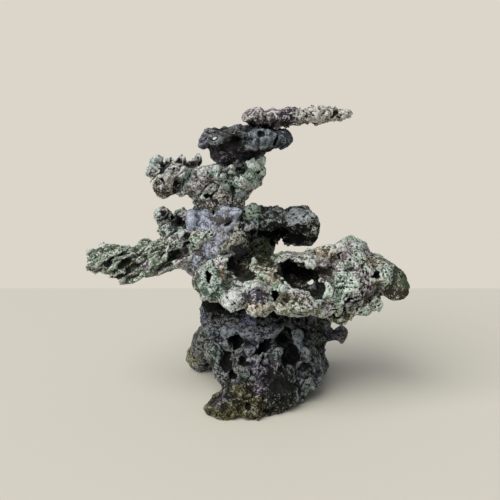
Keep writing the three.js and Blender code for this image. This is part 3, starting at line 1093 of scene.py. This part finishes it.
# %% Colour the arch rock
arch_colours = [
    ((3, -14, 263), (22, 22, 13), "#788b7b", 1.0),  # mint lump
    ((-24, -32, 228), (20, 14, 24), "#7d7661", 0.9),  # rim of the cave
    ((68, -4, 256), (22, 22, 13), "#888e90", 1.0),  # pale block
    ((34, 4, 247), (18, 24, 13), "#363d33", 0.8, 0.1),  # dark lump
    ((48, 0, 222), (50, 60, 12), "#17160f", 1.0, 0.5),  # in the shade of the arm
    # more painted shade under the arm
    ((40, -10, 240), (12, 20, 9), "#1b1c15", 1.0, 0.4),
    ((72, -10, 236), (10, 20, 7), "#1b1c15", 1.0, 0.4),
    # painted shade at the back of the cave
    ((-2, -10, 230), (13, 16, 20), "#26271a", 1.0, 0.3),  # back of the cave
    # green algae, painted lighter as painted light, since little light reaches the floor of the cave
    ((18, 18, 200), (32, 44, 18), "#7c8560", 1.0),  # green floor of the cave
    ((90, 4, 232), (12, 24, 18), "#45432f", 0.9, 0.1),  # end of the block
]
aged_arch = stone("aged_coral_arch", DARK_CRUST_AND_SHADE | {"pale": "#c6cdca", "patches": arch_colours})
set_in_place(arch, "arch_rock", aged_arch)

# %% [markdown]
# ### Wing rock
# The wing is a flat branch that tapers to the left. Its coral grew in slanting ribs, so its patterns are
# turned and stretched along them, and its dents are smaller than elsewhere.

# %% Shape the wing rock
wing = rough_out(
    "wing_rock",
    knobs=[
        ((-214, -12, 184), (13, 14, 7)),  # lower edge of the tip
        ((-196, -12, 182), (12, 14, 6)),
        ((-90, -30, 236), (5, 8, 14), (0, 15, 0)),  # pale ridge at the root
        ((-73, -24, 228), (8, 10, 12)),
        ((-122, 12, 256), (11, 12, 10)),  # upper lobe
        ((-93, 6, 252), (13, 14, 12)),
        ((-62, -20, 231), (10, 12, 9)),  # root, which lies over the mortar
        ((-53, -18, 232), (8, 10, 7)),
    ],
)
wing_pits = [
    ((-190, -36, 196), (3.5, 14, 8), (0, 35, 0)),
    ((-164, -36, 193), (10, 10, 8), (0, 15, 0)),
    ((-100, -2, 247), (11, 20, 7), (0, 15, 0)),
    ((-118, 6, 259), (5, 10, 5)),
    ((-149, -36, 177), (6, 10, 2.5), (0, -25, 0)),
    ((-83, -34, 230), (3, 10, 12)),
    ((-102, -32, 204), (8, 8, 4), (0, -30, 0)),
]
wing_relief = {
    "voxel": 1.3,
    "turn": (15, -55, 0),
    "stretch": (1.0, 1.0, 0.42),
    "lobes": [(11, -2.6), (5, -0.7)],
    "creases": [(20, 3.2, 0.05), (11, 2.0, 0.05)],
    "grain": [(24, 3.0), (6, 1.8), (3.2, 1.2)],
}
carve(wing, CORAL | wing_relief | {"pits": wing_pits})

# %% [markdown]
# Its sage stone has a greener crust along the ribs, painted shade in the gap between its two lobes and in a
# hollow, and a smear of mortar where it is bedded in the core.

# %% Colour the wing rock
wing_colours = [
    ((-160, -10, 200), (60, 50, 30), "#6b7863", 0.9),  # greener crust
    ((-139, -34, 192), (8, 10, 6), "#5d4f60", 1.0),  # purple
    ((-112, 0, 246), (26, 30, 20), "#59605e", 0.8),  # upper lobe
    ((-88, -26, 232), (8, 16, 18), "#a3a5ae", 0.8),  # smear of mortar
    # painted shade in a hollow, over dark green
    ((-160, -30, 192), (14, 14, 9), "#37402f", 0.8, 0.2),  # dark hollow
    # painted shade in the gap between the lobes
    ((-98, 0, 248), (14, 26, 9), "#2b302c", 0.8, 0.3),  # gap between the lobes
]
sage_wing = stone("sage_coral_wing", SAGE | {"patches": wing_colours})
set_in_place(wing, "wing_rock", sage_wing)

# %% [markdown]
# ### Crown rock
# The crown is a shallow bowl with a rim of thumb-sized knobs, and a loop of coral at its left end. The knobs
# could come from the Voronoi pattern, but the eye knows this rim by its outline, so each one has its place,
# with pits for the gaps between them. Brown lumps under it hang over the mortar.

# %% Knobs of the crown rock
crown = rough_out(
    "crown_rock",
    knobs=[
        ((-112, 0, 300), (18, 14, 16)),  # behind the loop
        ((-126, 10, 328), (9, 9, 9)),  # knobs from the left along the rim
        ((-133, -6, 316), (9, 9, 9)),
        ((-109, 2, 328), (8, 8, 8)),
        ((-92, 20, 330), (6, 6, 7)),
        ((-70, 34, 330), (6, 6, 7)),
        ((-86, -28, 317), (7, 7, 7)),
        ((-77, -20, 309), (7, 7, 7)),
        ((-58, -34, 317), (9, 8, 8)),
        ((-40, -39, 318), (9, 8, 8)),
        ((-24, -38, 321), (5, 5, 7)),
        ((4, -18, 325), (10, 10, 9)),  # right lobe
        ((17, -10, 329), (7, 8, 8)),
        ((1, -16, 311), (9, 9, 8)),
        ((-12, -35, 304), (10, 9, 8)),
        ((17, -12, 315), (6, 8, 6)),
        ((-128, -14, 300), (7, 7, 7)),  # loop
        ((-119, -20, 291), (7, 7, 6)),
        ((-112, -26, 297), (5, 6, 8)),
        ((-104, -23, 296), (5, 6, 11)),
        ((-108, -22, 309), (10, 7, 5)),
        ((-120, -18, 310), (6, 7, 6)),
        ((-68, -12, 275), (11, 12, 7)),  # brown lumps that hang over the mortar
        ((-50, -19, 274), (11, 10, 7)),
        ((-33, -21, 276), (10, 9, 6)),
        ((-16, -14, 275), (10, 11, 7)),
    ],
    softness=2,
)

# %% Holes and relief of the crown rock
crown_pits = [
    ((-116, -32, 304), (5, 9, 4)),
    ((-97, -26, 298), (4, 14, 8)),
    ((-12, -30, 322), (6, 14, 9)),
    ((-59, -32, 286), (5, 8, 3)),
    ((-117, 6, 325), (3, 16, 8)),  # gaps between the knobs of the rim
    ((-98, 12, 327), (4, 16, 8)),
    ((-79, 22, 328), (6, 16, 9)),
    ((-62, 20, 324), (5, 16, 7)),
]
crown_relief = {
    "worn": [((5, -18, 318), (22, 24, 16))],  # right lobe
    "voxel": 1.3,
    "turn": (15, -35, 0),
    "stretch": (1.0, 1.0, 0.6),
    "lobes": [(15, -2.0), (7, -0.4)],
    "creases": [(26, 2.8, 0.05)],
    "grain": [(24, 2.5), (8, 1.4), (3.2, 1.0)],
}
carve(crown, CORAL | crown_relief | {"pits": crown_pits})

# %% [markdown]
# The crown is sage coral, a little bluer than the shelf. Its loop is taupe, its middle mauve and its right
# lobe mint, and painted shade lies in the bowl, beside the right lobe and under the rim.

# %% Colour the crown rock
crown_tones = {"body": "#839a92", "stain": "#827965", "relief": 0.4}
crown_colours = [
    ((-115, -20, 300), (24, 24, 16), "#857d76", 0.9),  # loop
    ((-60, -30, 300), (22, 20, 14), "#857d83", 0.6),  # middle
    ((0, -20, 318), (30, 30, 22), "#8a9d8c", 0.8),  # right lobe
    # brown lumps, with painted shade under them
    ((-40, -18, 271), (46, 26, 8), "#4a4138", 0.9, 0.2),  # brown lumps
    # painted shade in the gap beside the right lobe
    ((-12, -24, 322), (8, 16, 10), "#22241f", 1.0, 0.5),  # gap beside the right lobe
    # painted shade in the bowl, over a dark olive colour
    ((-84, 22, 318), (40, 24, 10), "#45442f", 0.9, 0.25),  # dirt in the bowl
    # painted shade under the loop, over a brown crust
    ((-112, -26, 290), (20, 20, 7), "#4f3f33", 0.9, 0.2),  # under the loop
]
sage_crown = stone("sage_coral_crown", SAGE | crown_tones | {"patches": crown_colours})
set_in_place(crown, "crown_rock", sage_crown)

# %% [markdown]
# ### Cap rock
# The cap is a dark rock that water wore smooth, with a narrow tunnel through its left end. So it has wide,
# shallow dents, few pores and soft creases. The tunnel is a hole bored last, turned so that light shows
# through.

# %% Shape the cap rock
cap = rough_out(
    "cap_rock",
    knobs=[
        ((45, -2, 360), (13, 16, 13)),  # lobe behind the arm
        ((16, -20, 360), (21, 14, 13)),  # lobe at the end of the arm
        ((-8, -26, 348), (9, 9, 7)),  # ridge along the arm
        ((3, -26, 348), (9, 9, 7)),
        ((15, -24, 350), (9, 9, 7)),
        ((27, -20, 353), (9, 9, 7)),
        ((-60, -12, 353), (8, 9, 8)),  # knob at the left
        ((-38, -10, 357), (18, 16, 13)),
        ((-13, 0, 324), (14, 18, 9)),  # foot, which stands on the crown
    ],
    softness=4,
)
cap_pits = [
    ((-36, 0, 389.5), (36, 44, 19), (0, -4, 0)),  # flattens the top
    ((-54, -20, 366), (7, 10, 3)),
    ((-19, -36, 356), (8, 16, 11), (0, 20, 0)),
    ((15, -34, 365), (4, 10, 4)),
    ((-2, -36, 368), (3, 8, 3)),
    ((19, -26, 338), (24, 14, 6)),
    ((36, -20, 362), (2.5, 9, 11), (0, 15, 0)),
]
cap_relief = {
    "voxel": 1.3,
    "lobes": [(16, -1.6)],
    "creases": [(30, 2.0, 0.05)],
    "grain": [(20, 3.0), (6, 1.4), (3.4, 0.8)],
    "pores": [(16, 2.4, 0.4, 7), (6, 1.4, 0.25, 4)],
}
tunnel = [((-47, 0, 359), (4, 70, 2.4), (0, -25, 3.3))]
carve(cap, CORAL | cap_relief | {"pits": cap_pits, "holes": tunnel})

# %% [markdown]
# Its crust is slate grey, and purple-brown below, where it also gets painted shade. A worn rock has fainter
# pinholes and softer crumbs.

# %% Colour the cap rock
slate = DARK_CRUST_AND_SHADE | {
    "body": "#3c4344",
    "drift": "#4a4d57",
    "pale": "#a5adb0",
    "pinhole_share": 0.4,
    "contrast": 0.8,
}
cap_colours = [
    # purple-brown crust underneath, with painted shade
    ((-34, -26, 338), (28, 16, 15), "#372d38", 0.9, 0.2),  # purple-brown underside
    # painted shade in a hollow at the front
    ((-16, -26, 352), (12, 16, 16), "#1b191a", 1.0, 0.4),
    # painted shade under the arm
    ((20, -22, 340), (30, 20, 7), "#1f2322", 0.9, 0.3),
    ((-44, -18, 364), (14, 16, 8), "#3a3330", 0.7, 0.1),
    ((16, -24, 360), (26, 14, 12), "#4f5a5e", 0.9),  # end of the arm
    ((44, -10, 356), (13, 20, 16), "#343a46", 0.9, 0.1),  # lobe behind it
]
slate_cap = stone("slate_coral_cap", slate | {"patches": cap_colours})
set_in_place(cap, "cap_rock", slate_cap)

# %% [markdown]
# ### Top slab
# The slab is a plate of coral about 3 cm thick. It is thin, so it has the finest grid, and small dents that
# make its edge ragged. Three knobs below fill the gap to the cap, so that it rests and doesn't hover.

# %% Shape the top slab
slab = rough_out(
    "top_slab",
    knobs=[
        ((16, -2, 380), (14, 14, 6)),  # underside, which rests on the cap
        ((34, -4, 379), (12, 14, 7)),
        ((-4, -6, 386), (7, 12, 8)),
        ((129, -4, 392), (8, 9, 7)),  # end
    ],
)
slab_relief = {
    "voxel": 1.2,
    "lobes": [(12, -2.2), (6, -0.7)],
    "creases": [(20, 2.4, 0.05)],
    "grain": [(20, 3.0), (7, 2.0), (3.2, 1.1)],
}
slab_notch = [((113, -14, 396), (2.5, 10, 6))]
carve(slab, CORAL | slab_relief | {"pits": slab_notch})

# %% [markdown]
# Its stone is sand-coloured at the right and mauve at the left, with one deep purple blotch of coralline
# algae, which also gets painted shade.

# %% Colour the top slab
sand = SAGE | {
    "body": "#736276",
    "drift": "#8a8484",
    "stain": "#6b5370",
    "fleck": "#7d7262",
    "pale": "#f0eee6",
    "dark": "#2f262a",
}
slab_colours = [
    # purple blotch, with a little painted shade
    ((52, -20, 388), (14, 16, 12), "#352b44", 1.0, 0.2),  # purple blotch
    ((22, -10, 378), (34, 30, 6), "#2b2526", 0.9, 0.4),  # shade over the cap
    ((94, -14, 390), (36, 30, 16), "#b6b4ab", 0.85),  # sand
]
sand_slab = stone("sand_coral_slab", sand | {"patches": slab_colours})
set_in_place(slab, "top_slab", sand_slab)

# %% [markdown]
# ### Bed mortar
# Mortar fills the joint between the base and the shelf. It was pressed in by hand and is as lumpy as the
# rock, so it gets the common relief with a deeper grain. It swells a little, so that it meets both rocks.

# %% Shape the bed mortar
bed = rough_out("bed_mortar")
bed_relief = {
    "grain": [(18, 5.0), (7, 2.4), (3.4, 1.2)],
    "swell": 0.3,
}
bed_pits = [
    ((-40, -46, 134), (27, 30, 7), (0, 22, 0)),  # slot under the shelf
    ((-20, -50, 122), (12, 18, 5), (0, 25, 0)),
]
carve(bed, CORAL | bed_relief | {"pits": bed_pits})

# %% [markdown]
# Cement mortar is grey, and this joint is dark with algae and painted shade. A smooth column at the left
# stayed paler, and a blue-grey smear shows in front. The slot under the shelf and the right end are painted
# dark as painted shade.

# %% Colour the bed mortar
dark_mortar = DARK_CRUST_AND_SHADE | {"body": "#2c2e30", "drift": "#34363c", "stain": "#352f2b", "pale_share": 0.6}
bed_colours = [
    ((-66, -20, 112), (10, 30, 22), "#4a4e5a", 0.9),  # smooth column
    # painted black as painted shade in the slot under the shelf
    ((-42, -20, 129), (30, 50, 10), "#0c0c0d", 1.0, 0.9),  # slot under the shelf
    ((-26, -50, 106), (12, 20, 9), "#5a5760", 0.8),
    ((4, -56, 119), (26, 24, 7), "#686d8e", 0.9),  # blue-grey smear
    # painted shade at the right, beside the back rock
    ((50, -40, 112), (30, 34, 14), "#252a26", 0.9, 0.2),
]
mortar_bed = stone("dark_mortar", dark_mortar | {"patches": bed_colours})
set_in_place(bed, "bed_mortar", mortar_bed)

# %% [markdown]
# ### Core mortar
# The core is the neck of the stack: fresh mortar that was smoothed with a wet trowel and thumb. It has low,
# wide swellings, thin crevices and almost no pores. Crumbs of rock stick in it under the crown.

# %% Knobs of the core mortar
core = rough_out(
    "core_mortar",
    knobs=[
        ((-36, -4, 266), (26, 24, 10)),
        ((-37, -8, 250), (24, 20, 20)),
        ((-44, -4, 228), (30, 20, 24)),
        ((-52, -4, 212), (26, 22, 22)),
        ((-24, 8, 212), (20, 24, 22)),
        ((-72, -8, 196), (18, 20, 22)),
        ((-80, 0, 248), (8, 12, 16)),
        ((-58, 34, 248), (15, 12, 18)),  # uneven back
        ((-32, 38, 228), (15, 12, 20)),
        ((-66, 30, 206), (18, 14, 16)),
        ((-44, 38, 196), (16, 12, 18)),
        ((-57, -22, 263), (6, 6, 5)),  # white knob
        ((-33, -24, 254), (9, 6, 5), (0, -35, 0)),
        ((-41, -24, 250), (7, 6, 4), (0, -35, 0)),
        ((-20, -20, 262), (10, 8, 6)),
    ],
    softness=3,
)

# %% Relief of the core mortar
core_relief = {
    "lobes": [(16, 1.0)],
    "creases": [(24, 1.8, 0.03)],
    "grain": [(20, 2.8), (7, 1.3), (3.4, 0.7)],
    "pores": [(14, 2.0, 0.25, 5)],
    "swell": 0.5,
}
core_pits = [
    ((-57, -24, 269), (10, 8, 3)),
    ((-27, -26, 249), (9, 6, 2), (0, -35, 0)),
    ((-48, -22, 262), (3, 8, 6)),
]
carve(core, CORAL | core_relief | {"pits": core_pits})

# %% [markdown]
# Trowelled cement mortar is a smooth blue-grey to lavender. Its grains of sand are under a millimetre, so the
# crumbs count less than on coral. Brown dirt and painted shade fill its crevices, the side that faces the cave
# and the wedge under the wing are painted dark as painted shade, and a column in front is painted paler as
# painted light.

# %% Colour the core mortar
mortar = SAGE | {
    "body": "#9aa3b6",
    "drift": "#9a9dad",
    "stain": "#8b868e",
    "fleck": "#a5a8b8",
    "pale": "#e2ecfa",
    "dark": "#5a585b",
    "pinhole_share": 0.5,
    "contrast": 0.7,
    "relief": 0.4,
}
core_colours = [
    # brown crumbs of rock, with painted shade
    ((-52, -24, 270), (14, 16, 8), "#453e37", 1.0, 0.3),  # crumbs of rock at the top
    ((-68, -14, 252), (20, 20, 14), "#b0b9cc", 0.8),  # pale shoulder
    # pale lilac mortar, painted paler as painted light where the wing and crown shade it
    ((-44, -24, 220), (17, 16, 18), "#b0b0bb", 0.9),  # column
    # crevice with brown dirt and painted shade
    ((-37, -24, 252), (14, 10, 7), "#453e3a", 1.0, 0.3),  # crevice
    ((-76, -12, 194), (20, 20, 20), "#5d5251", 1.0),  # wedge beside the shelf
    # painted shade under the root of the wing
    ((-74, -18, 210), (15, 16, 11), "#463a36", 1.0, 0.3),
    # painted shade on the side that faces the cave
    ((-10, -10, 214), (20, 30, 26), "#1d1c16", 1.0, 0.5),  # side that faces the cave
]
mortar_core = stone("trowelled_mortar", mortar | {"patches": core_colours})
set_in_place(core, "core_mortar", mortar_core)


# %% [markdown]
# ## Floor, light and camera
# The stack stands on a pale painted board.

# %% Floor
FLOOR_DEPTH = 4.0  # metres
FLOOR_END = 0.566  # where it meets the wall, behind the stack
PAINT_ROUGHNESS = 0.6  # satin paint

bpy.ops.object.select_all(action="DESELECT")
bpy.ops.mesh.primitive_plane_add(size=FLOOR_DEPTH, location=(0, FLOOR_END - FLOOR_DEPTH / 2, 0))
floor = bpy.context.active_object
floor.name = "floor"
floor_paint = bpy.data.materials.new("pale_board")
floor_paint.use_nodes = True
painted = floor_paint.node_tree.nodes["Principled BSDF"]
painted.inputs["Base Color"].default_value = linear("#d2cec1")
painted.inputs["Roughness"].default_value = PAINT_ROUGHNESS
floor.data.materials.append(floor_paint)
print("floor ends", FLOOR_END, "m behind the stack")

# %% [markdown]
# The photograph was lit by a wide window at the upper left. An area lamp would be brighter on the near rocks
# than on the far ones, and a sun shines the same everywhere, so the window is a sun. Its wide spread gives
# the soft shadows, and a pale world fills them. The camera sees the world as a pale wall, but less of that
# light falls on the rock.

# %% Light
from mathutils import Vector

WINDOW = (-0.75, -0.7, 1.1)  # where the light comes from
WINDOW_STRENGTH = 3.2
WINDOW_SPREAD = 60  # degrees
FILL_STRENGTH = 0.42

window_light = bpy.data.objects.new("window", bpy.data.lights.new("window", "SUN"))
bpy.context.scene.collection.objects.link(window_light)
window_light.rotation_euler = Vector(WINDOW).to_track_quat("Z", "Y").to_euler()
window_light.data.energy = WINDOW_STRENGTH
window_light.data.angle = math.radians(WINDOW_SPREAD)
window_light.data.color = linear("#fffdfa")[:3]

world = bpy.data.worlds.new("studio")
world.use_nodes = True
fill = world.node_tree.nodes["Background"]
fill.inputs["Color"].default_value = linear("#dde0e4")
fill.inputs["Strength"].default_value = FILL_STRENGTH
wall = add_node(world.node_tree, "ShaderNodeBackground", {"Color": linear("#dcd6ca"), "Strength": 1.0})
seen = add_node(world.node_tree, "ShaderNodeLightPath")
both = add_node(world.node_tree, "ShaderNodeMixShader", [seen.outputs["Is Camera Ray"], fill, wall])
world.node_tree.links.new(both.outputs[0], world.node_tree.nodes["World Output"].inputs["Surface"])
bpy.context.scene.world = world

# The Standard view shows the hex colours as they were chosen.
bpy.context.scene.view_settings.view_transform = "Standard"
print("window:", WINDOW_STRENGTH, "and fill:", FILL_STRENGTH)

# %% [markdown]
# The camera is where the real one was: 83 cm away, 37 cm up, and looking 11 degrees down. That was worked out
# from the far edge of the floor and from the feet of the stack. The CAD model was then centred on its box, so
# the camera is moved by as much.

# %% Camera
CENTRED_BY = (0.53 * MM, 11.86 * MM)
STAND_BACK = 0.830  # metres
EYE_HEIGHT = 0.370
LOOK_DOWN = math.atan(0.2)
FOCAL_PIXELS = 600  # focal length in pixels of a picture that is 500 pixels wide
PICTURE_PIXELS = 500
SENSOR = 36  # mm

camera = bpy.data.objects.new("camera", bpy.data.cameras.new("camera"))
bpy.context.scene.collection.objects.link(camera)
camera.location = (CENTRED_BY[0], -STAND_BACK + CENTRED_BY[1], EYE_HEIGHT)
camera.rotation_euler = (math.pi / 2 - LOOK_DOWN, 0, 0)
camera.data.sensor_width = SENSOR
camera.data.lens = SENSOR * FOCAL_PIXELS / PICTURE_PIXELS
bpy.context.scene.camera = camera
print(f"lens {camera.data.lens:.1f} mm")
